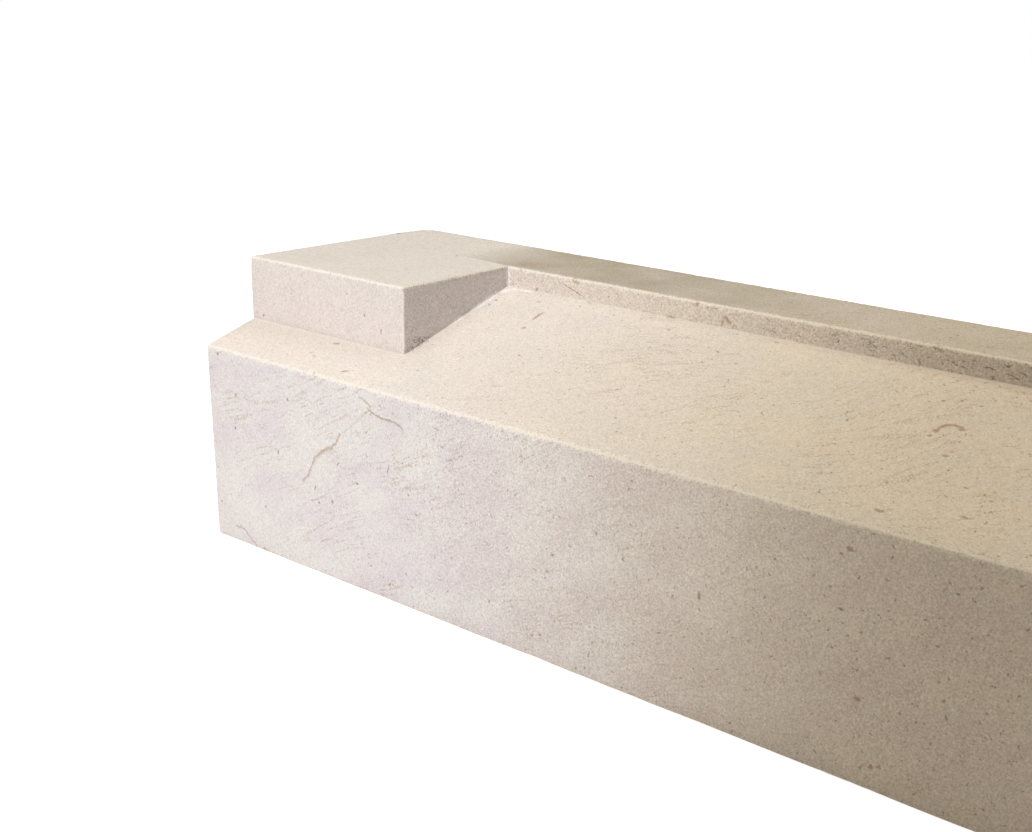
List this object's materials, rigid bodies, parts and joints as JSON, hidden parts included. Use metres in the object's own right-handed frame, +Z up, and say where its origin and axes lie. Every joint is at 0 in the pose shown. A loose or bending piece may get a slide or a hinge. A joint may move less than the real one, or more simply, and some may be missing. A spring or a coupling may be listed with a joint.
{
  "type": "stooled stone window sill",
  "caption": "Long stone window sill with a weathered slope let in between two raised end stools, a low upstand with a level frame seat behind it, and a drip throat beneath.",
  "frame": {"origin": "middle of the bed, the flat underside that lies on the wall", "axes": "+X along the length, +Y from the weather face to the back, +Z up; the weather face looks towards -Y"},
  "size_m": [1.125, 0.155, 0.14],
  "materials": {
    "limestone": "fine rubbed, matt"
  },
  "bodies": {
    "root": {"window_sill": "limestone"}
  },
  "joints": []
}
